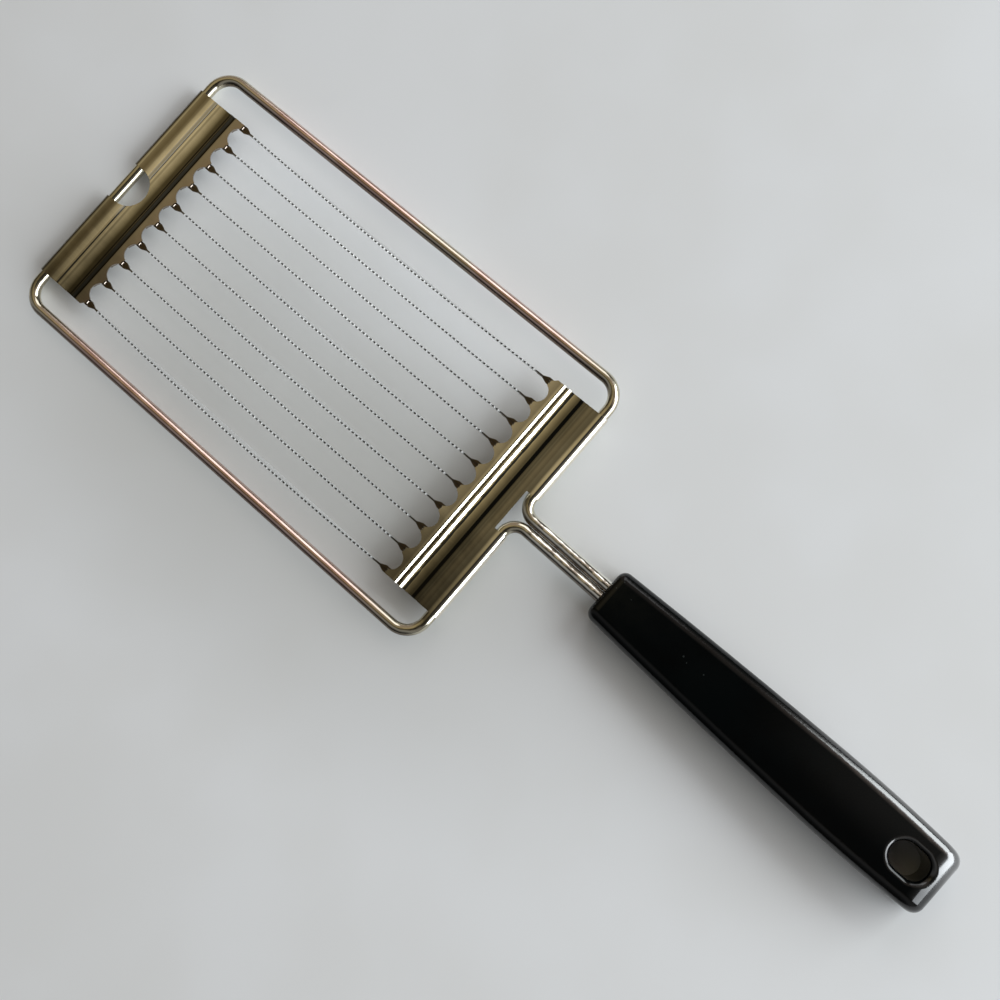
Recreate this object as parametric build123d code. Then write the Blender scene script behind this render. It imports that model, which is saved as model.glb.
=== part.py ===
from build123d import *
import math
import os

# Tomato slicer: a bent wire frame on a moulded handle, two sheet brackets rolled round
# the wire, and ten serrated blades hooked on the brackets' teeth.
# Millimetres. X runs along the frame towards the handle, Y across it, Z up.
# Everything is built round the frame's own centre, with the wire's axis at z = 0, and
# then laid down so that it rests on z = 0 as it does on a table.

# Wire frame
WIRE_D = 3.5
FRAME_LENGTH = 162.8        # between the wire's centre lines
FRAME_WIDTH = 94.2          # between the wire's centre lines
CORNER_R = 7.0              # centre line radius at the four corners
SHANK_BEND_R = 4.8          # centre line radius where the wire turns into the shank
SHANK_LENGTH = 33.4         # from the near side's centre line to the handle
SHANK_IN_HANDLE = 48.0      # length of the two wire ends inside the handle
SHANK_SKEW = -1.2          # degrees, how far the shank leans from the frame's axis
ROD_GAP = 0.06              # between the two rods of the shank

# Blades
BLADES = 10
BLADE_PITCH = 8.0
BLADE_THICK = 0.5
BLADE_HEIGHT = 2.0
SERRATION_PITCH = 1.475
SERRATION_DEPTH = 0.55
PLAIN_NECK = 4.5            # plain length at each end of a blade
EYE_WIDTH = 2.1             # flattened end that is hooked on a tooth
EYE_THICK = 0.45
EYE_RIM = 0.75

# Brackets
SHEET = 0.4
BRACKET_LENGTH = 74.8
TOOTH_OFFSET = 0.8          # row of teeth off the bracket's middle, as it is stamped
TIP_TO_WIRE = 18.3          # from the teeth's tips to the wire's centre line
TOOTH_TIP = 1.7             # width of a tooth's plain end
TOOTH_END = 0.25            # where that end stops, from the hook's outer face
SCALLOP_DEPTH = 2.4
HOOK_WIDTH = 0.9
HOOK_SIDE = 0.4             # from the tooth's middle to the middle of its hook
HOOK_LEG = 1.4              # straight part of the hook, below its bend
HOOK_SLIT = 0.12            # beside the hook, where it is cut free of the tooth
LIP_DEPTH = 0.9             # how far a tooth's one flank is turned down
LIP_START = 1.6             # from the hook's outer face to where the turned flank begins
LIP_TURN = 34.0             # degrees of the scallop that are turned down
RIB_START = 4.0             # from the teeth's tips to the pressed double rib
RIB_SLOPE = 39.0            # degrees, of the rib's three flanks
RIB_R = 0.35                # bends between the flanks
RIB_RUNS = (0.95, 0.95, 1.05)   # the flanks' widths seen from above: down, up, down
WEB_SLOPE = 2.5             # degrees, gentle rise of the sheet beyond the rib
GROOVE_START = 10.4
GROOVE_WIDTH = 3.0
GROOVE_DEPTH = 0.22
BEND_START = 15.1           # where the sheet begins to rise to the roll's top
BEND_R = 6.0
HEM_SLOPE = 8.0             # degrees, of the sheet where it reaches the roll
HEM_ARC = 300.0             # degrees of sheet rolled round the wire
HEM_FIT = 0.03              # between the wire and the roll
FORK_WIDTH = 14.0           # roll left out where the shank leaves
FORK_DEPTH = 4.4            # measured in from the roll's outer edge
HANGER_WIDTH = 13.0         # roll left out beside the hanging hole
HANGER_R = 6.5

# Handle
HANDLE_LENGTH = 117.3
HANDLE_FRONT_W = 16.8
HANDLE_QUARTER_W = 19.8
HANDLE_MAX_W = 21.9
HANDLE_REAR_W = 20.0
QUARTER_AT = 0.31           # share of the length where the second width is taken
MAX_AT = 0.65               # share of the length where it is widest
HANDLE_FRONT_H = 11.0       # at the front end; it deepens evenly to the rear end
HANDLE_REAR_H = 15.5
HANDLE_NOSE_R = 7.0         # top of the rear end, seen from the side
HANDLE_EDGE_R = 3.4         # along the top's sides, over the nose and down its corners
HANDLE_FRONT_R = 2.7        # round the front end
HANDLE_UNDER_R = 2.4        # round the underside
BORE_FIT = 0.05
HOLE_LENGTH = 11.4
HOLE_WIDTH = 8.2
HOLE_FROM_REAR = 11.3       # from the hole's middle to the rear end
HOLE_RIM_R = 1.5

TILT_TRIES = 4              # rounds of the search for the resting tilt

# Sizes that follow from the ones above
WIRE_R = WIRE_D / 2
FAR_X = -FRAME_LENGTH / 2
NEAR_X = FRAME_LENGTH / 2
TIP_X = NEAR_X - TIP_TO_WIRE
HEM_R = WIRE_R + HEM_FIT + SHEET / 2
HEM_OUTER_R = HEM_R + SHEET / 2
ROD_Y = (WIRE_D + ROD_GAP) / 2
SCALLOP_HALF = (BLADE_PITCH - TOOTH_TIP) / 2
SCALLOP_R = (SCALLOP_HALF**2 + SCALLOP_DEPTH**2) / (2 * SCALLOP_DEPTH)
HOOK_R = SHEET * 0.6 + SHEET / 2
BLADE_SPAN = 2 * TIP_X
BLADE_END_Y = TOOTH_OFFSET - HOOK_SIDE
BLADE_SKEW = math.degrees(math.atan2(-2 * BLADE_END_Y, BLADE_SPAN))


def tooth_positions():
    """Y of each tooth on the near bracket, from the one with the highest Y down."""
    first = (BLADES - 1) / 2 * BLADE_PITCH - TOOTH_OFFSET
    return [first - BLADE_PITCH * i for i in range(BLADES)]


def skewed(x, y):
    """A point of the shank's own straight layout, leaned about the near side's middle."""
    lean = math.radians(SHANK_SKEW)
    along = x - NEAR_X
    return (
        NEAR_X + along * math.cos(lean) - y * math.sin(lean),
        along * math.sin(lean) + y * math.cos(lean),
    )


def frame_wire():
    """One wire: in from the handle, round the rectangle and back into the handle."""
    end_x = NEAR_X + SHANK_LENGTH + SHANK_IN_HANDLE
    lean = math.radians(SHANK_SKEW)
    upper_meet = ROD_Y / math.cos(lean)
    points = [
        skewed(end_x, ROD_Y),
        (NEAR_X, upper_meet),
        (NEAR_X, FRAME_WIDTH / 2),
        (FAR_X, FRAME_WIDTH / 2),
        (FAR_X, -FRAME_WIDTH / 2),
        (NEAR_X, -FRAME_WIDTH / 2),
        (NEAR_X, -upper_meet),
        skewed(end_x, -ROD_Y),
    ]
    corners = [SHANK_BEND_R] + [CORNER_R] * 4 + [SHANK_BEND_R]
    path = FilletPolyline(*points, radius=corners)
    section = Plane(path @ 0, z_dir=path % 0) * Circle(WIRE_R)
    return sweep(section, path=path, transition=Transition.RIGHT)


def rise(path, width, height):
    """Carries a sheet's middle line over a rounded bead, or a groove if height is negative."""
    turn = 2 * math.atan(2 * abs(height) / width)
    radius = width / (4 * math.sin(turn))
    side = math.copysign(math.degrees(turn), height)
    for sweep_angle in (side, -2 * side, side):
        path.append(JernArc(path[-1] @ 1, path[-1] % 1, radius, sweep_angle))


def bend(path, radius, turn):
    """Carries a line on through an arc; turn is in degrees and positive is upwards."""
    path.append(JernArc(path[-1] @ 1, path[-1] % 1, radius, turn))


def straight_to(path, x):
    """Carries a line straight on, until it is at this x."""
    start, ahead = path[-1] @ 1, path[-1] % 1
    path.append(Line(start, start + ahead * ((x - start.X) / ahead.X)))


def web_line(lift):
    """Middle line of the bracket's sheet from its teeth to the start of the roll."""
    path = [Line((TOOTH_END, lift), (RIB_START, lift))]
    bend_run = RIB_R * math.sin(math.radians(RIB_SLOPE))
    flank_end = RIB_START
    for down, run in zip((1, -1, 1), RIB_RUNS):
        bend(path, RIB_R, -down * RIB_SLOPE)
        flank_end += run
        straight_to(path, flank_end - bend_run)
        bend(path, RIB_R, down * RIB_SLOPE)
    bend(path, BEND_R, WEB_SLOPE)
    straight_to(path, GROOVE_START)
    rise(path, GROOVE_WIDTH, -GROOVE_DEPTH)
    straight_to(path, BEND_START)
    bend(path, BEND_R, HEM_SLOPE - WEB_SLOPE)
    straight_to(path, TIP_TO_WIRE - HEM_R * math.sin(math.radians(HEM_SLOPE)))
    return path


# Heights above the wire's axis, which follow from where the sheet's line meets the roll
ROLL_RISE = HEM_R * math.cos(math.radians(HEM_SLOPE))
STRIP_LIFT = ROLL_RISE - (web_line(0)[-1] @ 1).Y
EYE_TOP = STRIP_LIFT - HOOK_R - BORE_FIT
BLADE_LOW = EYE_TOP - EYE_THICK / 2 - BLADE_HEIGHT / 2


def bracket_line():
    """Middle line of the bracket's sheet in its own section: tooth, rib, groove, roll."""
    path = web_line(STRIP_LIFT)
    bend(path, HEM_R, -HEM_ARC)
    return path


def thick_line(path, thickness):
    """Closes a tangent chain of lines and arcs into a strip of one thickness."""
    sides = []
    for side in (1, -1):
        chain = []
        for edge in path:
            start, end = edge @ 0, edge @ 1
            square_start = Vector(-(edge % 0).Y, (edge % 0).X) * side * thickness / 2
            square_end = Vector(-(edge % 1).Y, (edge % 1).X) * side * thickness / 2
            if edge.geom_type == GeomType.LINE:
                chain.append(Line(start + square_start, end + square_end))
            else:
                middle = edge @ 0.5
                square = Vector(-(edge % 0.5).Y, (edge % 0.5).X) * side * thickness / 2
                chain.append(
                    ThreePointArc(start + square_start, middle + square, end + square_end)
                )
        sides.append(chain)
    left, right = sides
    caps = [
        Line(left[0] @ 0, right[0] @ 0),
        Line(left[-1] @ 1, right[-1] @ 1),
    ]
    return make_face(Curve() + left + right + caps)


def upright(section, length):
    """Stands a section drawn in x and z up and pulls it to both sides along Y."""
    return extrude(Plane.XZ * section, amount=length / 2, both=True)


def tooth_hook():
    """The part of a tooth that turns down through the eye of a blade."""
    turn = JernArc((HOOK_R + SHEET / 2, STRIP_LIFT), (-1, 0), HOOK_R, 90)
    leg = Line(turn @ 1, (turn @ 1) - (0, HOOK_LEG))
    root = Line((HOOK_R + SHEET / 2 + SHEET, STRIP_LIFT), turn @ 0)
    return upright(thick_line([root, turn, leg], SHEET), HOOK_WIDTH)


def flank_lip():
    """Turned-down stretch of one flank, round the scallop's axis."""
    section = Pos(SCALLOP_R, STRIP_LIFT)
    section *= Rectangle(SHEET, LIP_DEPTH, align=(Align.MIN, Align.MAX))
    start = -math.degrees(math.acos((LIP_START - SCALLOP_DEPTH + SCALLOP_R) / SCALLOP_R))
    return Rot(0, 0, start) * revolve(Plane.XZ * section, Axis.Z, LIP_TURN)


def bracket(fork):
    """Sheet bracket with its teeth's outer faces at x = 0 and the wire at TIP_TO_WIRE.

    With fork the roll is left open for the shank, otherwise for the hanging hole.
    """
    body = upright(thick_line(bracket_line(), SHEET), BRACKET_LENGTH)
    tall = 4 * HEM_OUTER_R
    teeth = tooth_positions()
    scallops = [teeth[-1] - BLADE_PITCH / 2] + [y + BLADE_PITCH / 2 for y in teeth]
    scallop_x = SCALLOP_DEPTH - SCALLOP_R
    for y in scallops:
        body -= Pos(scallop_x, y, 0) * Cylinder(SCALLOP_R, tall)
    hook, hook_room = tooth_hook(), Box(
        2 * (HOOK_R + SHEET / 2), HOOK_WIDTH + 2 * HOOK_SLIT, tall
    )
    lip = flank_lip()
    for y in teeth:
        body -= Pos(0, y + HOOK_SIDE, 0) * hook_room
        body += Pos(0, y + HOOK_SIDE, 0) * hook
        if y + BLADE_PITCH / 2 < BRACKET_LENGTH / 2:
            body += Pos(scallop_x, y + BLADE_PITCH / 2, 0) * lip
    outer_x = TIP_TO_WIRE + HEM_OUTER_R
    if fork:
        body -= Pos(outer_x - FORK_DEPTH, 0, 0) * Box(
            FORK_DEPTH * 2, FORK_WIDTH, tall, align=(Align.MIN, Align.CENTER, Align.CENTER)
        )
    else:
        roll_x = TIP_TO_WIRE - HEM_OUTER_R
        body -= Pos(roll_x, 0, 0) * Box(
            HEM_OUTER_R * 3, HANGER_WIDTH, tall, align=(Align.MIN, Align.CENTER, Align.CENTER)
        )
        body -= Pos(roll_x, 0, 0) * Cylinder(HANGER_R, tall)
    return body


def blade():
    """Serrated blade along X, on edge, with a flat eye at each end for a tooth's hook."""
    half = BLADE_SPAN / 2
    tooth_x = half - PLAIN_NECK
    pitch = 2 * tooth_x / round(2 * tooth_x / SERRATION_PITCH)
    top = BLADE_LOW + BLADE_HEIGHT
    eye_low = EYE_TOP - EYE_THICK
    end_x = half - BORE_FIT
    outline = [(-end_x, eye_low), (-tooth_x, BLADE_LOW), (tooth_x, BLADE_LOW), (end_x, eye_low)]
    outline += [(end_x, EYE_TOP), (tooth_x, top)]
    for i in range(round(2 * tooth_x / pitch)):
        tooth_end = tooth_x - pitch * (i + 1)
        outline += [(tooth_end + pitch / 2, top - SERRATION_DEPTH), (tooth_end, top)]
    outline.append((-end_x, EYE_TOP))
    body = upright(make_face(Polyline(*outline, close=True)), BLADE_THICK)
    for turn in (0, 180):
        body += Rot(0, 0, turn) * blade_eye(half, eye_low)
    return body


def blade_eye(half, low):
    """Flat fan at a blade's end, with the square eye that a tooth's leg fills."""
    inner = half + SHEET + BORE_FIT
    outer = inner + EYE_RIM
    fan = Polyline(
        (half - PLAIN_NECK * 0.6, BLADE_THICK / 2),
        (half - EYE_RIM, EYE_WIDTH / 2),
        (outer, EYE_WIDTH / 2),
        (outer, -EYE_WIDTH / 2),
        (half - EYE_RIM, -EYE_WIDTH / 2),
        (half - PLAIN_NECK * 0.6, -BLADE_THICK / 2),
        close=True,
    )
    plate = Pos(0, 0, low) * extrude(make_face(fan), amount=EYE_THICK)
    eye_length = SHEET + 2 * BORE_FIT
    eye = Pos(half + SHEET / 2, 0, low) * Box(eye_length, HOOK_WIDTH + 2 * BORE_FIT, 3 * EYE_THICK)
    return plate - eye


def handle_plan():
    """The handle's outline from above, front end at x = 0, with its corners still sharp."""
    rear_x = HANDLE_LENGTH
    outline = [
        Line((0, HANDLE_FRONT_W / 2), (0, -HANDLE_FRONT_W / 2)),
        Line((rear_x, HANDLE_REAR_W / 2), (rear_x, -HANDLE_REAR_W / 2)),
    ]
    for side in (1, -1):
        rising = ThreePointArc(
            (0, side * HANDLE_FRONT_W / 2),
            (rear_x * QUARTER_AT, side * HANDLE_QUARTER_W / 2),
            (rear_x * MAX_AT, side * HANDLE_MAX_W / 2),
        )
        falling = TangentArc(
            rising @ 1, (rear_x, side * HANDLE_REAR_W / 2), tangent=rising % 1
        )
        outline += [rising, falling]
    return make_face(Curve() + outline)


def handle_side():
    """The handle's outline from the side, deeper at the rear, with a round nose on top."""
    front_z = HANDLE_FRONT_H / 2
    rear_z = HANDLE_REAR_H / 2
    corners = [
        (0, front_z),
        (HANDLE_LENGTH, rear_z),
        (HANDLE_LENGTH, -rear_z),
        (0, -front_z),
    ]
    outline = make_face(Polyline(corners, close=True))
    top_rear = outline.vertices().sort_by(Axis.X)[-2:].sort_by(Axis.Y)[-1]
    return Plane.XZ * fillet(top_rear, HANDLE_NOSE_R)


def handle_body():
    """The handle's outside, where its outlines from above and from the side meet."""
    body = extrude(handle_plan(), amount=HANDLE_REAR_H, both=True)
    body &= extrude(handle_side(), amount=HANDLE_MAX_W, both=True)
    side_edges = body.edges().filter_by(lambda edge: abs((edge @ 0.5).Y) > HANDLE_FRONT_W / 4)
    front_edges = side_edges.filter_by(lambda edge: (edge @ 0.5).X < HANDLE_FRONT_R)
    run = [
        edge
        for edge in side_edges
        if edge not in front_edges
        and ((edge @ 0.5).Z > 0 or (edge @ 0.5).X > HANDLE_LENGTH - HANDLE_UNDER_R)
    ]
    body = fillet(run, HANDLE_EDGE_R)
    body = fillet(body.edges().filter_by(Axis.Z).group_by(Axis.X)[0], HANDLE_FRONT_R)
    return fillet(body.faces().sort_by(Axis.Z)[0].edges(), HANDLE_UNDER_R)


def handle():
    """Moulded handle in its own layout: front end at x = 0, axis along X."""
    body = handle_body()
    for side in (1, -1):
        body -= Pos(0, side * ROD_Y, 0) * Cylinder(
            WIRE_R + BORE_FIT, 2 * (SHANK_IN_HANDLE + BORE_FIT), rotation=(0, 90, 0)
        )
    hole_x = HANDLE_LENGTH - HOLE_FROM_REAR
    hole = extrude(Pos(hole_x, 0) * SlotOverall(HOLE_LENGTH, HOLE_WIDTH), HANDLE_REAR_H, both=True)
    body -= hole
    reach = HOLE_LENGTH / 2 + BORE_FIT
    rims = [
        edge
        for edge in body.edges()
        if abs((edge @ 0.5).X - hole_x) < reach
        and abs((edge @ 0.5).Y) < HOLE_WIDTH / 2 + BORE_FIT
        and abs((edge % 0.5).Z) < math.cos(math.radians(45))
    ]
    return fillet(rims, HOLE_RIM_R)


def layout():
    """All pieces by name, round the frame's centre, before the slicer is laid down."""
    pieces = {"frame_wire": frame_wire()}
    pieces["near_bracket"] = Pos(TIP_X, 0, 0) * bracket(fork=True)
    pieces["far_bracket"] = Rot(0, 0, 180) * Pos(TIP_X, 0, 0) * bracket(fork=False)
    one_blade = blade()
    row_middle = (BLADES - 1) / 2 * BLADE_PITCH
    for i in range(BLADES):
        place = Pos(0, row_middle - BLADE_PITCH * i, 0) * Rot(0, 0, BLADE_SKEW)
        pieces[f"blade_{i + 1:02d}"] = place * one_blade
    front_x, front_y = skewed(NEAR_X + SHANK_LENGTH, 0)
    pieces["handle"] = Pos(front_x, front_y, 0) * Rot(0, 0, SHANK_SKEW) * handle()
    return pieces


def resting_tilt(pieces):
    """Degrees about Y that bring the far roll and the handle's underside to one height."""
    tilt = 0.0
    for _ in range(TILT_TRIES):
        lows = [
            (Rot(0, -tilt, 0) * pieces[name]).bounding_box().min.Z
            for name in ("far_bracket", "handle")
        ]
        reach = FRAME_LENGTH + SHANK_LENGTH + HANDLE_LENGTH
        tilt += math.degrees(math.atan2(lows[0] - lows[1], reach))
    return tilt


def laid_down(pieces):
    """Tilts the slicer onto its two supports and centres it over the origin."""
    tilt = resting_tilt(pieces)
    tilted = {name: Rot(0, -tilt, 0) * piece for name, piece in pieces.items()}
    box = Compound(list(tilted.values())).bounding_box()
    shift = Pos(-box.center().X, -box.center().Y, -box.min.Z)
    return {name: shift * piece for name, piece in tilted.items()}


os.makedirs("parts", exist_ok=True)
for name, piece in laid_down(layout()).items():
    export_step(piece, f"parts/{name}.step")
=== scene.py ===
"""Looks of a hand-held tomato slicer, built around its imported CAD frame.

The slicer is a bent wire frame with two rolled sheet brackets, ten serrated
blades hooked between them and a moulded handle. The CAD nodes give every
place and size. This script gives them their finishes, replaces the straight
blades by slightly bowed ones, and lights the whole as the photograph shows
it. All lengths are metres in the part's own frame: X runs towards the handle,
Y across the frame, Z is up and the table is Z = 0.
"""

from __future__ import annotations

import logging
import math
from dataclasses import dataclass
from enum import Enum

import bmesh
import bpy
from mathutils import Matrix, Vector

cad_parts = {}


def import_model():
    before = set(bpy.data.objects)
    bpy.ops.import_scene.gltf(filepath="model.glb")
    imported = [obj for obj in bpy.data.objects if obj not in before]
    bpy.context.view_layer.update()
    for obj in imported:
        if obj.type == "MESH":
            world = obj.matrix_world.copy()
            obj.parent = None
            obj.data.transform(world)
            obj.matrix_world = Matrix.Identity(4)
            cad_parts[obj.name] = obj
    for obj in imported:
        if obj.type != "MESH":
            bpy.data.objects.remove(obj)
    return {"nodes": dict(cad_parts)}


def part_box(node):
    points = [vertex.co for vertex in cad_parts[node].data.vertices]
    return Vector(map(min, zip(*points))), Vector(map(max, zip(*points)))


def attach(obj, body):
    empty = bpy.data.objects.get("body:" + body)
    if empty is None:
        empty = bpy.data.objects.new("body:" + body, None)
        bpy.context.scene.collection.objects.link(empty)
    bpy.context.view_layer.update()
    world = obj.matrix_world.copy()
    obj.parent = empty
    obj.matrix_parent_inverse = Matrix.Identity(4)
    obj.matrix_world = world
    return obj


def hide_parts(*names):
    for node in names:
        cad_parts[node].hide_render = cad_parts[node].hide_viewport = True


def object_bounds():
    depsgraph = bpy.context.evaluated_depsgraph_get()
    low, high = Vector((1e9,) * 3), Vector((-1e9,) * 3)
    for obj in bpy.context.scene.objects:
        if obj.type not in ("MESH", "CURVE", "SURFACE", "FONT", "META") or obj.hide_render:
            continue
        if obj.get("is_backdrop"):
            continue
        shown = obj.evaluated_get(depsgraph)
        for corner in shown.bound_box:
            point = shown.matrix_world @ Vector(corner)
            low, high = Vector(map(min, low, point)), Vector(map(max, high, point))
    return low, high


LOG = logging.getLogger("slicer")
Socket = bpy.types.NodeSocket
Place = tuple[float, float, float]
Span = tuple[float, float]
Colour = tuple[float, float, float]
Stops = tuple[tuple[float, Colour], ...]
BODY = "root"


class Slot(Enum):
    """The record's material slots."""

    WIRE = "wire"
    BRACKET = "bracket"
    BLADE = "blade"
    HANDLE = "handle"


class Recipe:
    """Short ways to put nodes into one material, world or group."""

    def __init__(self, tree: bpy.types.NodeTree) -> None:
        """Works on one node tree.

        Args:
            tree: The tree that gets the nodes.
        """
        self.tree = tree

    def add(self, kind: str, **settings: object) -> bpy.types.Node:
        """Adds a node.

        Args:
            kind: The node's type name.
            settings: Attributes to set on it.

        Returns:
            The new node.
        """
        node = self.tree.nodes.new(kind)
        for name, value in settings.items():
            setattr(node, name, value)
        return node

    def join(self, source: Socket, target: Socket) -> None:
        """Links one output to one input."""
        self.tree.links.new(source, target)

    def feed(self, target: Socket, value: object) -> None:
        """Gives an input a link or a constant.

        Args:
            target: The input.
            value: An output socket, a number or a colour of three numbers.
        """
        if isinstance(value, Socket):
            self.join(value, target)
        elif target.type == "RGBA":
            target.default_value = (*value, 1.0)
        else:
            target.default_value = value

    def sum(self, kind: str, first: object, second: object) -> Socket:
        """Works out one sum on two numbers.

        Args:
            kind: The Math node's operation.
            first: The first number or output.
            second: The second number or output.

        Returns:
            The result.
        """
        node = self.add("ShaderNodeMath", operation=kind)
        self.feed(node.inputs[0], first)
        self.feed(node.inputs[1], second)
        return node.outputs[0]

    def span(
        self,
        value: object,
        low: float,
        high: float,
        to_low: object,
        to_high: object,
        smooth: bool = True,
    ) -> Socket:
        """Maps a value from one range to another, and stays within it.

        Args:
            value: The output to map.
            low: Where the range starts.
            high: Where the range ends.
            to_low: The result at the start.
            to_high: The result at the end.
            smooth: Whether the ends ease in.

        Returns:
            The mapped value.
        """
        easing = "SMOOTHSTEP" if smooth else "LINEAR"
        node = self.add("ShaderNodeMapRange", interpolation_type=easing)
        for socket, given in zip(node.inputs, (value, low, high, to_low, to_high)):
            self.feed(socket, given)
        return node.outputs[0]

    def blend(self, share: object, first: object, second: object) -> Socket:
        """Mixes two colours.

        Args:
            share: How much of the second colour.
            first: The first colour.
            second: The second colour.

        Returns:
            The mixed colour.
        """
        node = self.add("ShaderNodeMix", data_type="RGBA")
        self.feed(node.inputs[0], share)
        self.feed(node.inputs[6], first)
        self.feed(node.inputs[7], second)
        return node.outputs[2]

    def tint(self, first: object, second: object) -> Socket:
        """Multiplies two colours.

        Args:
            first: The first colour.
            second: The second colour.

        Returns:
            The product.
        """
        node = self.add("ShaderNodeMix", data_type="RGBA", blend_type="MULTIPLY")
        self.feed(node.inputs[0], 1.0)
        self.feed(node.inputs[6], first)
        self.feed(node.inputs[7], second)
        return node.outputs[2]

    def axes(self, vector: object) -> tuple[Socket, Socket, Socket]:
        """Splits a vector.

        Args:
            vector: The output to split.

        Returns:
            Its share along X, Y and Z.
        """
        node = self.add("ShaderNodeSeparateXYZ")
        self.join(vector, node.inputs[0])
        return node.outputs["X"], node.outputs["Y"], node.outputs["Z"]

    def facing(self) -> tuple[Socket, Socket, Socket]:
        """Gives the way that the surface faces, along X, Y and Z."""
        return self.axes(self.add("ShaderNodeTexCoord").outputs["Normal"])

    def magnitude(self, value: object) -> Socket:
        """Drops a number's sign."""
        return self.sum("ABSOLUTE", value, 0.0)

    def sweep(self, value: object, stops: Stops, reach: float = 1.0) -> Socket:
        """Turns a value into a colour.

        Args:
            value: The output to turn.
            stops: Each stop's value and colour, in rising order.
            reach: How far from 0 the stops may go.

        Returns:
            The colour.
        """
        ramp = self.add("ShaderNodeValToRGB")
        self.join(self.span(value, -reach, reach, 0.0, 1.0, smooth=False), ramp.inputs[0])
        elements = ramp.color_ramp.elements
        elements.remove(elements[-1])
        for place, colour in stops:
            at = (place / reach + 1.0) / 2.0
            stop = elements[0] if place == stops[0][0] else elements.new(at)
            stop.position = at
            stop.color = (*colour, 1.0)
        return ramp.outputs["Color"]

    def noise(
        self, where: object, scale: object, detail: float = 2.0, rough: float = 0.5
    ) -> Socket:
        """Adds a noise.

        Args:
            where: The coordinates that it reads.
            scale: Waves per metre, about.
            detail: How many finer layers it has.
            rough: How strong the finer layers are.

        Returns:
            The noise, from 0 to 1.
        """
        node = self.add("ShaderNodeTexNoise")
        self.feed(node.inputs["Vector"], where)
        self.feed(node.inputs["Scale"], scale)
        node.inputs["Detail"].default_value = detail
        node.inputs["Roughness"].default_value = rough
        return node.outputs["Fac"]

    def stretched(
        self, where: object, stretch: Place, shift: Place = (0.0, 0.0, 0.0)
    ) -> Socket:
        """Stretches coordinates and shifts them.

        Args:
            where: The coordinates.
            stretch: The factor along each axis.
            shift: What is added after that.

        Returns:
            The new coordinates.
        """
        node = self.add("ShaderNodeMapping")
        self.feed(node.inputs["Vector"], where)
        node.inputs["Location"].default_value = shift
        node.inputs["Scale"].default_value = stretch
        return node.outputs["Vector"]


class SharedEffects:
    """Node groups that several finishes use, each built once.

    The clouds are a broad noise and one that is CLOUD_FINER times finer. Only
    what CLOUD_FROM spans counts, as the noise seldom goes past it. LINE_STRETCH
    draws a noise out along X. Specks lie in patches, SPECK_PATCHES to a metre.
    """

    CLOUD_FINER = 4.3
    CLOUD_BROAD_SHARE = 0.75
    CLOUD_FROM: Span = (0.38, 0.62)
    LINE_STRETCH: Place = (0.02, 1.0, 1.0)
    SPECK_PATCHES = 45.0
    SPECKS_FROM: Span = (0.5, 0.7)

    def __init__(self) -> None:
        """Builds every group."""
        self.cloudy = self._cloudy()
        self.drawn = self._drawn()
        self.specks = self._specks()

    @staticmethod
    def _start(name: str, **inputs: float) -> tuple[Recipe, bpy.types.Node, bpy.types.Node]:
        """Starts a group that turns a place and some numbers into one value.

        Args:
            name: The group's name.
            inputs: Each number's name and its usual value.

        Returns:
            The recipe, the group's input node and its output node.
        """
        tree = bpy.data.node_groups.new(name, "ShaderNodeTree")
        tree.interface.new_socket("Vector", in_out="INPUT", socket_type="NodeSocketVector")
        for label, usual in inputs.items():
            socket = tree.interface.new_socket(label, in_out="INPUT", socket_type="NodeSocketFloat")
            socket.default_value = usual
        tree.interface.new_socket("Value", in_out="OUTPUT", socket_type="NodeSocketFloat")
        recipe = Recipe(tree)
        return recipe, recipe.add("NodeGroupInput"), recipe.add("NodeGroupOutput")

    def _cloudy(self) -> bpy.types.NodeTree:
        """Builds soft uneven patches, as of handling and old plating.

        Returns:
            The group.
        """
        recipe, given, made = self._start("cloudy_patches", Scale=60.0, Low=0.0, High=1.0)
        where, scale = given.outputs["Vector"], given.outputs["Scale"]
        broad = recipe.noise(where, scale, detail=3.0, rough=0.6)
        fine = recipe.noise(where, recipe.sum("MULTIPLY", scale, self.CLOUD_FINER))
        broad_share = recipe.sum("MULTIPLY", broad, self.CLOUD_BROAD_SHARE)
        fine_share = recipe.sum("MULTIPLY", fine, 1.0 - self.CLOUD_BROAD_SHARE)
        both = recipe.sum("ADD", broad_share, fine_share)
        spread = recipe.span(both, *self.CLOUD_FROM, given.outputs["Low"], given.outputs["High"])
        recipe.join(spread, made.inputs["Value"])
        return recipe.tree

    def _drawn(self) -> bpy.types.NodeTree:
        """Builds fine lines along X, as drawing and rolling leave them.

        Returns:
            The group.
        """
        recipe, given, made = self._start("drawn_lines", Lines=3000.0)
        along = recipe.stretched(given.outputs["Vector"], self.LINE_STRETCH)
        lines = recipe.noise(along, given.outputs["Lines"], rough=0.6)
        recipe.join(lines, made.inputs["Value"])
        return recipe.tree

    def _specks(self) -> bpy.types.NodeTree:
        """Builds scattered small specks, as of dust.

        Returns:
            The group.
        """
        recipe, given, made = self._start("dust_specks", Scale=300.0, Size=0.06)
        cells = recipe.add("ShaderNodeTexVoronoi")
        recipe.feed(cells.inputs["Vector"], given.outputs["Vector"])
        recipe.feed(cells.inputs["Scale"], given.outputs["Scale"])
        patch = recipe.noise(given.outputs["Vector"], self.SPECK_PATCHES)
        dusty = recipe.span(patch, *self.SPECKS_FROM, 0.0, 1.0)
        reach = recipe.sum("MULTIPLY", given.outputs["Size"], dusty)
        near = recipe.sum("LESS_THAN", cells.outputs["Distance"], reach)
        recipe.join(near, made.inputs["Value"])
        return recipe.tree


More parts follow.
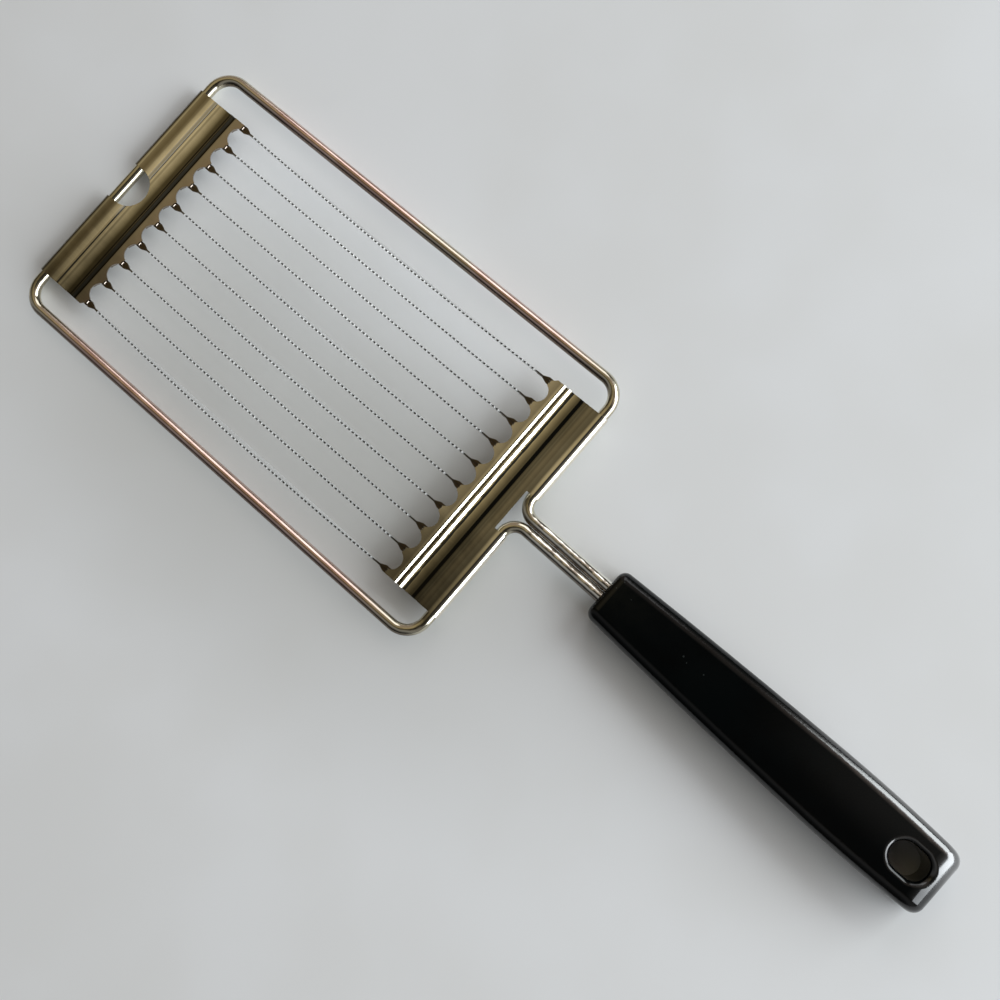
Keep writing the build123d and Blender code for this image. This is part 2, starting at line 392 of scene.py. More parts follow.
@dataclass(frozen=True)
class Finish:
    """What every finish has: a name and the start of its material."""

    name: str

    def start(self) -> tuple[Recipe, bpy.types.Node, Socket]:
        """Starts the material.

        Returns:
            The recipe, the Principled node and the object coordinates.
        """
        material = bpy.data.materials.new(self.name)
        material.use_nodes = True
        recipe = Recipe(material.node_tree)
        shader = next(n for n in recipe.tree.nodes if n.type == "BSDF_PRINCIPLED")
        where = recipe.add("ShaderNodeTexCoord").outputs["Object"]
        return recipe, shader, where

    def group(
        self, recipe: Recipe, tree: bpy.types.NodeTree, where: Socket, **values: float
    ) -> Socket:
        """Places a shared group with this finish's own values.

        Args:
            recipe: The material's recipe.
            tree: The shared group.
            where: The coordinates for it.
            values: Its inputs by name.

        Returns:
            The group's output.
        """
        node = recipe.add("ShaderNodeGroup")
        node.node_tree = tree
        recipe.join(where, node.inputs["Vector"])
        for name, value in values.items():
            recipe.feed(node.inputs[name], value)
        return node.outputs[0]

    def relief(
        self, recipe: Recipe, shader: bpy.types.Node, height: Socket, depth: float
    ) -> None:
        """Feeds a height into the shader's normal.

        Args:
            recipe: The material's recipe.
            shader: The Principled node.
            height: The height, from 0 to 1.
            depth: How high 1 stands, in metres.
        """
        bump = recipe.add("ShaderNodeBump")
        bump.inputs["Strength"].default_value = 1.0
        bump.inputs["Distance"].default_value = depth
        recipe.join(height, bump.inputs["Height"])
        recipe.join(bump.outputs["Normal"], shader.inputs["Normal"])


@dataclass(frozen=True)
class PlatedMetal(Finish):
    """Bright plating over steel, yellowed and a little uneven.

    Its kinds say how it is tinted, which painted reflections and shade it carries, where a groove
    is darker and how it is dented.

    Attributes:
        light: Its colour in its lighter patches.
        dark: Its colour in its darker patches.
        middle: Where the blades' middle is along X.
        smooth: Its lowest roughness.
        dull: Its highest roughness.
        patch: How many such patches there are to a metre, about.
        wear_finer: How much finer the patches of its roughness are.
        dents: How much of the wave height its swell takes.
        drawn: How many drawn lines there are to a metre, about.
        line_rough: How much the drawn lines change the roughness.
        line_height: How much of the wave height the drawn lines take.
        wave_height: How high a full wave stands.
    """

    light: Colour
    dark: Colour
    middle: float
    smooth: float = 0.05
    dull: float = 0.10
    patch: float = 70.0
    wear_finer: float = 2.6
    dents: float = 0.02
    drawn: float = 2600.0
    line_rough: float = 0.05
    line_height: float = 0.002
    wave_height: float = 0.001

    def build(self, effects: SharedEffects) -> bpy.types.Material:
        """Builds the material.

        Args:
            effects: The shared groups.

        Returns:
            The material.
        """
        recipe, shader, where = self.start()
        along = recipe.sum("SUBTRACT", recipe.axes(where)[0], self.middle)
        share = self.group(recipe, effects.cloudy, where, Scale=self.patch)
        base = recipe.blend(share, self.dark, self.light)
        recipe.join(self.tinted(recipe, where, base, along), shader.inputs["Base Color"])
        # Less metallic where the far groove is darkened.
        metal_share = recipe.sum("SUBTRACT", 1.0, self.groove_darkened(recipe, where, along))
        recipe.join(metal_share, shader.inputs["Metallic"])
        lines = self.group(recipe, effects.drawn, where, Lines=self.drawn)
        wear = {"Scale": self.patch * self.wear_finer, "Low": self.smooth, "High": self.dull}
        worn = self.group(recipe, effects.cloudy, where, **wear)
        scored = recipe.sum("MULTIPLY", recipe.sum("SUBTRACT", lines, 0.5), self.line_rough)
        recipe.join(recipe.sum("ADD", worn, scored), shader.inputs["Roughness"])
        swell = recipe.sum("MULTIPLY", self.swell(recipe, where, along), self.dents)
        height = recipe.sum("ADD", swell, recipe.sum("MULTIPLY", lines, self.line_height))
        self.relief(recipe, shader, height, self.wave_height)
        return bpy.data.materials[self.name]

    def tinted(self, recipe: Recipe, where: Socket, base: Socket, along: Socket) -> Socket:
        """Leaves the plating's colour as it is."""
        return base

    def groove_darkened(self, recipe: Recipe, where: Socket, along: Socket) -> object:
        """Gives how much a groove on the plating is darkened: not at all."""
        return 0.0

    def swell(self, recipe: Recipe, where: Socket, along: Socket) -> Socket:
        """Gives the slow waves of the surface, from 0 to 1."""
        return recipe.noise(where, 190.0)


@dataclass(frozen=True)
class WirePlating(PlatedMetal):
    """Plating that is pinkish along the frame's sides and yellower at its ends.

    Attributes:
        worn: Its colour at the ends and in worn patches.
        tone_change_from: Where the ends begin, either way from the blades' middle.
        worn_patches: Which noise makes a worn patch.
        wear_and_dimming_most: How worn such a patch gets.
        shank: The shank's colour.
        shank_from: Where the shank begins, from the blades' middle.
        bent_from: Where the bends into the shank begin.
        painted_shade: The colour of the painted shade on the side that faces -Y.
        painted_shade_facing: How far towards -Y that side faces.
        painted_shade_most: How dark the painted shade gets.
    """

    worn: Colour = (0.60, 0.56, 0.44)
    tone_change_from: Span = (0.052, 0.078)
    worn_patches: Span = (0.56, 0.66)
    wear_and_dimming_most: float = 0.8
    shank: Colour = (0.97, 0.95, 0.87)
    shank_from: Span = (0.084, 0.090)
    bent_from: Span = (0.060, 0.086)
    painted_shade: Colour = (0.09, 0.065, 0.05)
    painted_shade_facing: Span = (-0.72, -0.35)
    painted_shade_most: float = 0.85

    def tinted(self, recipe: Recipe, where: Socket, base: Socket, along: Socket) -> Socket:
        """Yellows the plating at the ends and in patches, and paints shade on its side that faces
        -Y.

        Args:
            recipe: The material's recipe.
            where: The object coordinates.
            base: The plating's colour.
            along: The place along X from the blades' middle.

        Returns:
            The colour.
        """
        ends = recipe.span(recipe.magnitude(along), *self.tone_change_from, 0.0, 1.0)
        uneven = recipe.noise(where, 38.0, rough=0.6)
        patches = recipe.span(uneven, *self.worn_patches, 0.0, self.wear_and_dimming_most)
        colour = recipe.blend(recipe.sum("MAXIMUM", ends, patches), base, self.worn)
        colour = recipe.blend(recipe.span(along, *self.shank_from, 0.0, 1.0), colour, self.shank)
        # Painted shade on the side of the wire that faces -Y.
        shaded = recipe.span(recipe.facing()[1], *self.painted_shade_facing, self.painted_shade_most, 0.0)
        return recipe.blend(shaded, colour, self.painted_shade)

    def swell(self, recipe: Recipe, where: Socket, along: Socket) -> Socket:
        """Gives small waves that are stronger where the shank was bent.

        Args:
            recipe: The material's recipe.
            where: The object coordinates.
            along: The place along X from the blades' middle.

        Returns:
            The height, from 0 to 1.
        """
        waves = recipe.noise(where, 170.0)
        return recipe.sum("MULTIPLY", waves, recipe.span(along, *self.bent_from, 0.08, 1.0))


@dataclass(frozen=True)
class SheetPlating(PlatedMetal):
    """Plating on pressed sheet, with painted reflections and painted shade in bands along its ribs
    and creases.

    Every place is along X and from the blades' middle, unless it says otherwise.

    Attributes:
        reach: How far the painted reflection bands go, either way.
        painted_reflection_bands: Each band's place and what it leaves of the plating's colour, as
            painted reflections and painted shade.
        wander: How far the painted bands wander.
        groove_dark: The colour of the darker line along the far groove.
        groove_at: The place of that groove.
        groove_edge: How far from the groove's middle the darkening fades.
        groove_side: Where along Y the darkening begins.
        groove_dark_most: How much of that darker colour it takes at most.
        rib_at: The near rib's place.
        rib_edge: How far from the rib's middle its ripple dies away.
        ripple: How strong the ripple is off the rib and on it.
        dent_share: How much of the swell the shallow dents take.
    """

    reach: float = 0.09
    painted_reflection_bands: Stops = (
        (-0.0838, (0.05, 0.04, 0.03)),
        (-0.0826, (0.08, 0.07, 0.05)),
        (-0.0816, (0.62, 0.62, 0.60)),
        (-0.0805, (0.40, 0.38, 0.33)),
        (-0.0792, (0.32, 0.30, 0.25)),
        (-0.0782, (0.66, 0.66, 0.66)),
        (-0.0768, (1.0, 1.0, 1.0)),
        (-0.0752, (1.0, 1.0, 1.0)),
        (-0.0738, (0.78, 0.78, 0.78)),
        (-0.0718, (0.34, 0.33, 0.29)),
        (-0.0709, (0.10, 0.09, 0.06)),
        (-0.0697, (0.13, 0.12, 0.10)),
        (-0.0687, (0.22, 0.21, 0.18)),
        (-0.0680, (0.05, 0.05, 0.04)),
        (-0.0671, (0.36, 0.34, 0.32)),
        (-0.0640, (0.38, 0.34, 0.34)),
        (0.0640, (0.62, 0.62, 0.64)),
        (0.0662, (0.46, 0.46, 0.48)),
        (0.0672, (1.0, 1.0, 1.0)),
        (0.0709, (1.0, 1.0, 0.95)),
        (0.0719, (0.55, 0.55, 0.52)),
        (0.0733, (0.20, 0.20, 0.18)),
        (0.0748, (0.18, 0.18, 0.17)),
        (0.0764, (0.20, 0.20, 0.20)),
        (0.0774, (0.38, 0.38, 0.38)),
        (0.0783, (0.28, 0.28, 0.28)),
        (0.0802, (0.20, 0.20, 0.20)),
        (0.0812, (1.0, 1.0, 1.0)),
    )
    wander: float = 0.0006
    groove_dark: Colour = (0.25, 0.20, 0.11)
    groove_at: float = -0.0762
    groove_edge: Span = (0.0003, 0.0007)
    groove_side: Span = (-0.012, 0.006)
    groove_dark_most: float = 0.95
    rib_at: float = 0.0697
    rib_edge: Span = (0.0005, 0.0016)
    ripple: Span = (0.05, 0.8)
    dent_share: float = 0.9

    def groove_darkened(self, recipe: Recipe, where: Socket, along: Socket) -> Socket:
        """Gives how much the far groove is darkened, on its +Y side only.

        Args:
            recipe: The material's recipe.
            where: The object coordinates.
            along: The place along X from the blades' middle.

        Returns:
            The share, from 0 to 1.
        """
        off = recipe.magnitude(recipe.sum("SUBTRACT", along, self.groove_at))
        across = recipe.span(off, *self.groove_edge, self.groove_dark_most, 0.0)
        lengthwise = recipe.span(recipe.axes(where)[1], *self.groove_side, 0.0, 1.0)
        return recipe.sum("MULTIPLY", across, lengthwise)

    def tinted(self, recipe: Recipe, where: Socket, base: Socket, along: Socket) -> Socket:
        """Paints reflections and shade into the plating in bands, and darkens the far groove.

        Args:
            recipe: The material's recipe.
            where: The object coordinates.
            base: The plating's colour.
            along: The place along X from the blades' middle.

        Returns:
            The colour.
        """
        either_way = recipe.sum("SUBTRACT", recipe.noise(where, 60.0), 0.5)
        place = recipe.sum("ADD", along, recipe.sum("MULTIPLY", either_way, self.wander))
        # Painted reflections and painted shade: bright and dark bands where the ribs and creases
        # would mirror the room.
        with_painted_reflections = recipe.tint(base, recipe.sweep(place, self.painted_reflection_bands, self.reach))
        # The far groove is darker and less metallic on its +Y part.
        return recipe.blend(self.groove_darkened(recipe, where, along), with_painted_reflections, self.groove_dark)

    def swell(self, recipe: Recipe, where: Socket, along: Socket) -> Socket:
        """Gives the sheet's shallow dents, and a ripple on the near rib.

        Args:
            recipe: The material's recipe.
            where: The object coordinates.
            along: The place along X from the blades' middle.

        Returns:
            The height, from 0 to 1.
        """
        dents = recipe.noise(where, 48.0, detail=1.0, rough=0.4)
        ripple = recipe.noise(where, 230.0, detail=1.0)
        off = recipe.magnitude(recipe.sum("SUBTRACT", along, self.rib_at))
        strength = recipe.span(off, *self.rib_edge, self.ripple[1], self.ripple[0])
        dented = recipe.sum("MULTIPLY", dents, self.dent_share)
        return recipe.sum("ADD", dented, recipe.sum("MULTIPLY", ripple, strength))


@dataclass(frozen=True)
class GlossPlastic(Finish):
    """Black moulded plastic with some dust, polished by the hand towards its rear.

    Attributes:
        colour: Its colour in its darker patches.
        sheen_tint: Its colour in its lighter patches.
        dust: The dust's colour.
        polished: Where along X the polished part begins.
        polished_side: Where along Y the polished part begins.
        polish_least: How polished it is at least, before that part and beside it.
        rough: Its lowest and highest roughness.
        specular: How much its skin mirrors.
        coat_rough: The polish's roughness.
        coat_ior: How strongly the polish mirrors, as an index of refraction.
        skin_share: How much of the wave height the fine skin takes.
        swell_share: How much of it the slow waves take.
        wave_height: How high a full wave stands.
    """

    colour: Colour
    sheen_tint: Colour
    dust: Colour = (0.02, 0.023, 0.023)
    polished: Span = (0.085, 0.135)
    polished_side: Span = (-0.008, 0.004)
    polish_least: Span = (0.05, 0.1)
    rough: Span = (0.07, 0.13)
    specular: float = 0.3
    coat_rough: float = 0.2
    coat_ior: float = 2.1
    skin_share: float = 0.03
    swell_share: float = 0.5
    wave_height: float = 0.00012

    def build(self, effects: SharedEffects) -> bpy.types.Material:
        """Builds the material.

        Args:
            effects: The shared groups.

        Returns:
            The material.
        """
        recipe, shader, where = self.start()
        cloud = self.group(recipe, effects.cloudy, where, Scale=40.0)
        dust = self.group(recipe, effects.specks, where, Scale=420.0, Size=0.11)
        base = recipe.blend(cloud, self.colour, self.sheen_tint)
        recipe.join(recipe.blend(dust, base, self.dust), shader.inputs["Base Color"])
        wear = {"Scale": 85.0, "Low": self.rough[0], "High": self.rough[1]}
        recipe.join(self.group(recipe, effects.cloudy, where, **wear), shader.inputs["Roughness"])
        shader.inputs["Specular IOR Level"].default_value = self.specular
        towards_rear, towards_side, _ = recipe.axes(where)
        rear = recipe.span(towards_rear, *self.polished, self.polish_least[0], 1.0)
        side = recipe.span(towards_side, *self.polished_side, self.polish_least[1], 1.0)
        recipe.join(recipe.sum("MULTIPLY", rear, side), shader.inputs["Coat Weight"])
        shader.inputs["Coat Roughness"].default_value = self.coat_rough
        shader.inputs["Coat IOR"].default_value = self.coat_ior
        skin = recipe.sum("MULTIPLY", recipe.noise(where, 900.0), self.skin_share)
        swell = recipe.sum("MULTIPLY", recipe.noise(where, 60.0), self.swell_share)
        self.relief(recipe, shader, recipe.sum("ADD", skin, swell), self.wave_height)
        return bpy.data.materials[self.name]


@dataclass
class Viewpoint:
    """The photograph's camera.

    Attributes:
        eye: Where it stands.
        right: Which way the picture's right side lies.
        up: Which way the picture's top lies.
        lens: Its focal length, in millimetres.
        sensor: Its sensor's width, in millimetres.
    """

    eye: Place = (0.065275, -0.016540, 0.358965)
    right: Place = (0.749644, 0.653157, -0.106864)
    up: Place = (-0.636812, 0.755814, 0.152365)
    lens: float = 45.0
    sensor: float = 36.0

    def build(self) -> bpy.types.Object:
        """Makes the camera and gives it to the scene.

        Returns:
            The camera.
        """
        data = bpy.data.cameras.new("photo_camera")
        data.lens = self.lens
        data.sensor_width = self.sensor
        data.clip_start = 0.01
        camera = bpy.data.objects.new("photo_camera", data)
        right = Vector(self.right).normalized()
        back = right.cross(Vector(self.up)).normalized()
        up = back.cross(right)
        turn = Matrix((right, up, back)).transposed()
        camera.matrix_world = Matrix.Translation(Vector(self.eye)) @ turn.to_4x4()
        bpy.context.scene.collection.objects.link(camera)
        bpy.context.scene.camera = camera
        return camera


@dataclass(frozen=True)
class SoftBox:
    """One rectangular lamp, aimed at the slicer.

    Attributes:
        name: Its name.
        bearing: Its direction from the slicer, in degrees from X towards Y.
        height: How high it stands over the table, in degrees.
        distance: How far it stands from its target.
        width: Its width.
        tall: Its height.
        power: Its power, in watts.
        colour: Its colour.
        target: What it is aimed at.
    """

    name: str
    bearing: float
    height: float
    distance: float
    width: float
    tall: float
    power: float
    colour: Colour
    target: Place = (-0.02, 0.0, 0.005)

    def build(self) -> bpy.types.Object:
        """Makes the lamp.

        Returns:
            The lamp.
        """
        data = bpy.data.lights.new(self.name, "AREA")
        data.shape = "RECTANGLE"
        data.size = self.width
        data.size_y = self.tall
        data.energy = self.power
        data.color = self.colour
        lamp = bpy.data.objects.new(self.name, data)
        bearing, height = math.radians(self.bearing), math.radians(self.height)
        level = math.cos(height)
        out = Vector((math.cos(bearing) * level, math.sin(bearing) * level, math.sin(height)))
        lamp.rotation_mode = "QUATERNION"
        lamp.rotation_quaternion = out.to_track_quat("Z", "Y")
        lamp.location = Vector(self.target) + out * self.distance
        bpy.context.scene.collection.objects.link(lamp)
        return lamp


@dataclass(frozen=True)
class SoftShade:
    """One soft oval on the table, where the slicer keeps the light away.

    Attributes:
        middle: Its middle along X and Y.
        reach: How far it goes along X and Y.
        strength: How dark its core is.
        core: How much of its reach is as dark as that.
    """

    middle: Span
    reach: Span
    strength: float
    core: float = 0.15

    def share(self, recipe: Recipe, where: Socket) -> Socket:
        """Gives how much of the shade lies at each place.

        Args:
            recipe: The table's recipe.
            where: The object coordinates.

        Returns:
            The share, from 0 to the shade's strength.
        """
        stretch = (1.0 / self.reach[0], 1.0 / self.reach[1], 0.0)
        shift = (-self.middle[0] / self.reach[0], -self.middle[1] / self.reach[1], 0.0)
        away = recipe.add("ShaderNodeVectorMath", operation="LENGTH")
        recipe.join(recipe.stretched(where, stretch, shift), away.inputs[0])
        return recipe.span(away.outputs["Value"], self.core, 1.0, self.strength, 0.0)


@dataclass
class Studio:
    """The pale table, daylight from two sides and the brown room over it.

    Attributes:
        table_half: Half the table's side.
        table_light: The table's colour where it is lightest.
        table_dark: The table's colour where it is darkest.
        table_shade: Its colour in full shade.
        table_rough: Its roughness.
        table_specular: How much it mirrors.
        shades: The soft ovals under the slicer.
        overhead: The ceiling's colour, by its direction along X.
        overhead_shade: The ceiling's colour on its -Y side.
        shaded_side: Where along Y that side ends.
        shaded_most: How far the ceiling takes that colour.
        walls: The walls' colour, by their direction along Y.
        walls_from: How far to the side the walls take over from the ceiling.
        lamps: The windows.
    """

    table_half: float = 1.6
    table_light: Colour = (0.75, 0.765, 0.78)
    table_dark: Colour = (0.72, 0.73, 0.735)
    table_shade: Colour = (0.44, 0.44, 0.42)
    table_rough: float = 0.6
    table_specular: float = 0.15
    shades: tuple[SoftShade, ...] = (
        SoftShade((-0.060, -0.040), (0.169, 0.081), 0.52),
        SoftShade((-0.075, -0.010), (0.125, 0.068), 0.38),
        SoftShade((-0.018, -0.016), (0.062, 0.052), 0.50),
    )
    overhead: Stops = (
        (-1.0, (0.07, 0.05, 0.028)),
        (-0.77, (0.30, 0.25, 0.15)),
        (-0.5, (0.50, 0.42, 0.26)),
        (-0.34, (0.30, 0.24, 0.14)),
        (-0.2, (0.43, 0.36, 0.215)),
        (-0.168, (0.32, 0.27, 0.165)),
        (-0.14, (0.022, 0.022, 0.018)),
        (0.22, (0.02, 0.02, 0.02)),
        (0.5, (0.14, 0.13, 0.12)),
        (1.0, (0.34, 0.34, 0.34)),
    )
    overhead_shade: Colour = (0.02, 0.016, 0.01)
    shaded_side: Span = (-0.08, 0.08)
    shaded_most: float = 0.8
    walls: Stops = (
        (-1.0, (0.02, 0.019, 0.018)),
        (-0.8, (0.10, 0.10, 0.10)),
        (-0.6, (0.25, 0.25, 0.25)),
        (-0.25, (0.22, 0.20, 0.18)),
        (0.25, (0.33, 0.27, 0.225)),
        (0.7, (0.35, 0.28, 0.235)),
        (0.9, (0.09, 0.075, 0.06)),
        (1.0, (0.03, 0.027, 0.022)),
    )
    walls_from: Span = (0.18, 0.4)
    lamps: tuple[SoftBox, ...] = (
        SoftBox("window", 20.0, 21.0, 1.8, 1.9, 1.1, 40.0, (0.91, 0.96, 1.0)),
        SoftBox("side_window", 112.3, 34.0, 3.0, 1.31, 1.8, 12.0, (0.95, 0.97, 1.0)),
        SoftBox("rear_side_window", 66.0, 30.0, 3.0, 1.3, 1.9, 40.0, (0.92, 0.98, 1.0)),
    )

    def build(self, effects: SharedEffects) -> None:
        """Makes the table, the lamps and the world.

        Args:
            effects: The shared groups.
        """
        self._table(effects)
        for lamp in self.lamps:
            lamp.build()
        self._world()
        bpy.context.scene.view_settings.view_transform = "Standard"

    def _table(self, effects: SharedEffects) -> None:
        """Makes the table top, with soft shades in its colour under the frame.

        Args:
            effects: The shared groups.
        """
        mesh = bpy.data.meshes.new("table")
        shape = bmesh.new()
        bmesh.ops.create_grid(shape, x_segments=1, y_segments=1, size=self.table_half)
        shape.to_mesh(mesh)
        shape.free()
        table = bpy.data.objects.new("table", mesh)
        bpy.context.scene.collection.objects.link(table)
        finish = Finish("pale_table")
        recipe, shader, where = finish.start()
        cloud = finish.group(recipe, effects.cloudy, where, Scale=7.0)
        colour = recipe.blend(cloud, self.table_dark, self.table_light)
        for shade in self.shades:
            colour = recipe.blend(shade.share(recipe, where), colour, self.table_shade)
        recipe.join(colour, shader.inputs["Base Color"])
        shader.inputs["Roughness"].default_value = self.table_rough
        shader.inputs["Specular IOR Level"].default_value = self.table_specular
        mesh.materials.append(bpy.data.materials[finish.name])
        table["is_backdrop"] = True

    def _world(self) -> None:
        """Makes the room: a brown ceiling that changes along X, and walls along Y."""
        world = bpy.data.worlds.new("room")
        bpy.context.scene.world = world
        world.use_nodes = True
        recipe = Recipe(world.node_tree)
        background = next(n for n in recipe.tree.nodes if n.type == "BACKGROUND")
        lengthwise, sideways, _ = recipe.axes(recipe.add("ShaderNodeTexCoord").outputs["Generated"])
        ceiling = recipe.sweep(lengthwise, self.overhead)
        shade = recipe.span(sideways, *self.shaded_side, self.shaded_most, 0.0)
        ceiling = recipe.blend(shade, ceiling, self.overhead_shade)
        sides = recipe.sweep(sideways, self.walls)
        share = recipe.span(recipe.magnitude(sideways), *self.walls_from, 0.0, 1.0)
        recipe.join(recipe.blend(share, ceiling, sides), background.inputs["Color"])
        background.inputs["Strength"].default_value = 1.0


@dataclass
class WireFrame:
    """The bent wire, kept from the CAD model."""

    middle: float
    node: str = "frame_wire"
    light: Colour = (0.80, 0.62, 0.55)
    dark: Colour = (0.62, 0.45, 0.39)

    def dress(self, nodes: dict[str, bpy.types.Object], effects: SharedEffects) -> None:
        """Gives the wire its finish, and no shadow, as in the photograph.

        Args:
            nodes: The CAD nodes by name.
            effects: The shared groups.
        """
        colours = (self.light, self.dark)
        finish = WirePlating(
            "coppery_plating", *colours, self.middle, smooth=0.11, dull=0.18, dents=0.36
        )
        dress_node(nodes[self.node], finish.build(effects))
        nodes[self.node].visible_shadow = False


@dataclass
class Brackets:
    """The two rolled sheet brackets, kept from the CAD model."""

    middle: float
    names: tuple[str, str] = ("far_bracket", "near_bracket")
    light: Colour = (0.98, 0.93, 0.80)
    dark: Colour = (0.86, 0.81, 0.68)

    def dress(self, nodes: dict[str, bpy.types.Object], effects: SharedEffects) -> None:
        """Gives both brackets their finish.

        Args:
            nodes: The CAD nodes by name.
            effects: The shared groups.
        """
        finish = SheetPlating("olive_plating", self.light, self.dark, self.middle, dents=0.35)
        material = finish.build(effects)
        for name in self.names:
            dress_node(nodes[name], material)


@dataclass(frozen=True)
class SerratedSteel(Finish):
    """Ground steel, with painted shade in its gullets and painted highlights on its points, dimmer
    near the handle.

    Attributes:
        middle: Where the blades' middle is along X.
        pitch: The length of one serration.
        point: A point's colour, its painted highlight.
        stained_point: Its colour where it is stained most.
        stained_most: How much of that stain there is.
        dimmed_point: A point's colour where its painted highlight is dimmest.
        tone_change_from: Where the points' painted highlight starts to dim, from the blades'
            middle.
        wear_and_dimming_most: How far the points' painted highlight dims.
        gullet: The gullets' colour, a painted shade.
        gullet_from: How high the cosine along a serration is where its gullet begins.
        side: The colour of a blade's sides.
        side_facing: How far towards Y a side faces.
        neck: The plain neck's colour.
        hook: The hooked end's colour.
        plain_from: Where the neck begins, either way from the blades' middle.
        hooked_from: Where the hooked end begins, likewise.
        rough: The roughness of its plain ends.
        rougher: What the serrations add to that.
        scratch_depth: How deep its ground lines are.
    """

    middle: float
    pitch: float
    point: Colour = (0.50, 0.50, 0.49)
    stained_point: Colour = (0.4, 0.4, 0.39)
    stained_most: float = 0.35
    dimmed_point: Colour = (0.16, 0.16, 0.155)
    tone_change_from: Span = (-0.010, 0.045)
    wear_and_dimming_most: float = 0.8
    gullet: Colour = (0.12, 0.12, 0.115)
    gullet_from: Span = (-0.25, 0.35)
    side: Colour = (0.82, 0.83, 0.83)
    side_facing: Span = (0.5, 0.8)
    neck: Colour = (0.20, 0.18, 0.15)
    hook: Colour = (0.11, 0.085, 0.055)
    plain_from: float = 0.0586
    hooked_from: float = 0.0618
    rough: float = 0.3
    rougher: float = 0.15
    scratch_depth: float = 0.000006

    def build(self, effects: SharedEffects) -> bpy.types.Material:
        """Builds the material.

        Args:
            effects: The shared groups.

        Returns:
            The material.
        """
        recipe, shader, where = self.start()
        along = recipe.sum("SUBTRACT", recipe.axes(where)[0], self.middle)
        # Painted highlight on each serration's point and painted shade in its gullet, by a cosine
        # along X.
        turns = recipe.sum("MULTIPLY", along, math.tau / self.pitch)
        wave = recipe.sum("COSINE", turns, 0.0)
        depth = recipe.span(wave, *self.gullet_from, 0.0, 1.0)
        out = recipe.magnitude(along)
        serrated = recipe.sum("LESS_THAN", out, self.plain_from)
        share = recipe.sum("MULTIPLY", depth, serrated)
        stain = {"Scale": 160.0, "Low": 0.0, "High": self.stained_most}
        cloud = self.group(recipe, effects.cloudy, where, **stain)
        bright = recipe.blend(cloud, self.point, self.stained_point)
        # The painted highlights on the points dim towards the handle.
        worn = recipe.span(along, *self.tone_change_from, 0.0, self.wear_and_dimming_most)
        bright = recipe.blend(worn, bright, self.dimmed_point)
        side = recipe.span(recipe.magnitude(recipe.facing()[1]), *self.side_facing, 0.0, 1.0)
        edge = recipe.blend(side, recipe.blend(share, bright, self.gullet), self.side)
        hooked = recipe.span(out, self.plain_from, self.hooked_from, 0.0, 1.0)
        ends = recipe.blend(hooked, self.neck, self.hook)
        recipe.join(recipe.blend(serrated, ends, edge), shader.inputs["Base Color"])
        shader.inputs["Metallic"].default_value = 1.0
        rough = recipe.sum("ADD", self.rough, recipe.sum("MULTIPLY", serrated, self.rougher))
        recipe.join(rough, shader.inputs["Roughness"])
        lines = self.group(recipe, effects.drawn, where, Lines=4000.0)
        self.relief(recipe, shader, lines, self.scratch_depth)
        return bpy.data.materials[self.name]


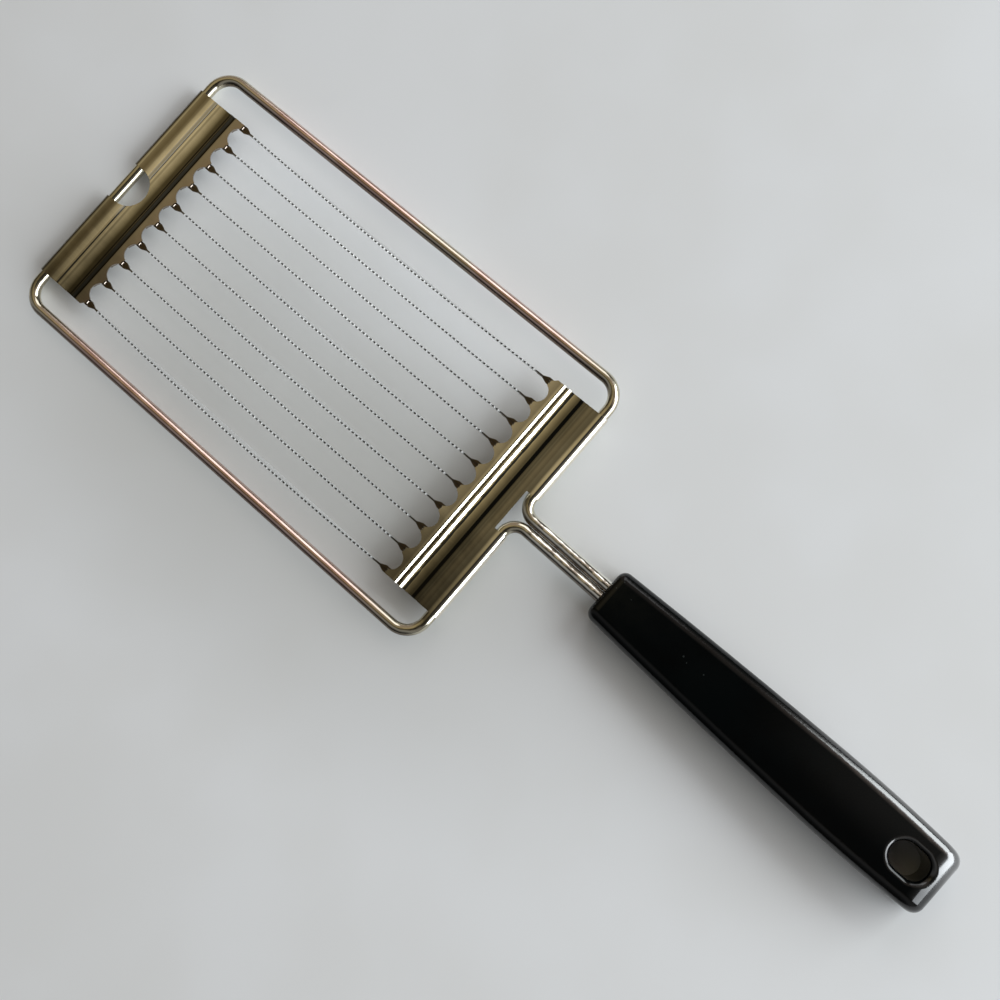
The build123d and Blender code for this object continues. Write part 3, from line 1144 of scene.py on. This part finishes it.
@dataclass
class BladeSet:
    """The ten serrated blades, slack enough that each bows a little to one side.

    Attributes:
        middle: Where the blades' middle is along X.
        bows: How far each blade's middle stands towards -Y.
        held: How much of each end its hook keeps in place.
        serration: The length of one serration.
        weld: How close the CAD mesh's doubled points are.
    """

    middle: float
    bows: tuple[float, ...] = (
        0.0009,
        0.0004,
        0.0003,
        0.0003,
        0.0008,
        0.0004,
        0.0008,
        0.0004,
        0.0004,
        0.0012,
    )
    held: float = 0.002
    serration: float = 0.00148311
    weld: float = 0.000001

    def dress(self, nodes: dict[str, bpy.types.Object], effects: SharedEffects) -> None:
        """Bows a copy of each blade, and gives it its finish.

        Args:
            nodes: The CAD nodes by name.
            effects: The shared groups.
        """
        material = SerratedSteel("blade_steel", self.middle, self.serration).build(effects)
        for number, bow in enumerate(self.bows, start=1):
            node = nodes[f"blade_{number:02d}"]
            self._bowed(node, bow, material)

    def _bowed(
        self, node: bpy.types.Object, bow: float, material: bpy.types.Material
    ) -> bpy.types.Object:
        """Makes the bowed copy of one blade, held at both its ends and without a shadow.

        Args:
            node: The blade's CAD node.
            bow: How far its middle stands towards -Y.
            material: Its material.

        Returns:
            The new piece.
        """
        low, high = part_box(node.name)
        middle, half = (low[0] + high[0]) / 2.0, (high[0] - low[0]) / 2.0
        shape = bmesh.new()
        shape.from_mesh(node.data)
        bmesh.ops.remove_doubles(shape, verts=shape.verts, dist=self.weld)
        for point in shape.verts:
            share = min(abs(point.co.x - middle) / (half - self.held), 1.0)
            point.co.y -= bow * (1.0 - share * share)
        for face in shape.faces:
            face.smooth = False
        mesh = bpy.data.meshes.new(f"{node.name}_bowed")
        shape.to_mesh(mesh)
        shape.free()
        piece = bpy.data.objects.new(mesh.name, mesh)
        bpy.context.scene.collection.objects.link(piece)
        mesh.materials.append(material)
        piece.visible_shadow = False
        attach(piece, BODY)
        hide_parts(node.name)
        LOG.info("%s bows %.1f mm", piece.name, bow * 1000.0)
        return piece


@dataclass
class Handle:
    """The moulded handle."""

    node: str = "handle"
    colour: Colour = (0.0009, 0.0012, 0.0013)
    sheen_tint: Colour = (0.0012, 0.0019, 0.0021)

    def dress(self, nodes: dict[str, bpy.types.Object], effects: SharedEffects) -> None:
        """Gives the handle its finish.

        Args:
            nodes: The CAD nodes by name.
            effects: The shared groups.
        """
        finish = GlossPlastic("black_plastic", self.colour, self.sheen_tint)
        dress_node(nodes[self.node], finish.build(effects))


def dress_node(piece: bpy.types.Object, material: bpy.types.Material) -> None:
    """Puts one material on every slot of a piece.

    Args:
        piece: The piece.
        material: Its material.
    """
    for slot in piece.material_slots:
        slot.material = material
    LOG.info("%s wears %s", piece.name, material.name)


def corners() -> list[list[float]]:
    """Gives the shown object's lowest and highest corner as plain lists."""
    bpy.context.view_layer.update()
    return [list(corner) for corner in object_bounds()]


def main() -> None:
    """Builds the slicer's looks in order."""
    logging.basicConfig(level=logging.INFO, format="%(message)s")
    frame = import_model()
    cad_box = corners()
    nodes = frame["nodes"]
    effects = SharedEffects()
    Viewpoint().build()
    Studio().build(effects)
    low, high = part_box("blade_01")
    middle = (low[0] + high[0]) / 2.0
    for part in (WireFrame(middle), Brackets(middle), BladeSet(middle), Handle()):
        part.dress(nodes, effects)
    {"cad": cad_box, "visual": corners()}


if __name__ == "__main__":
    main()
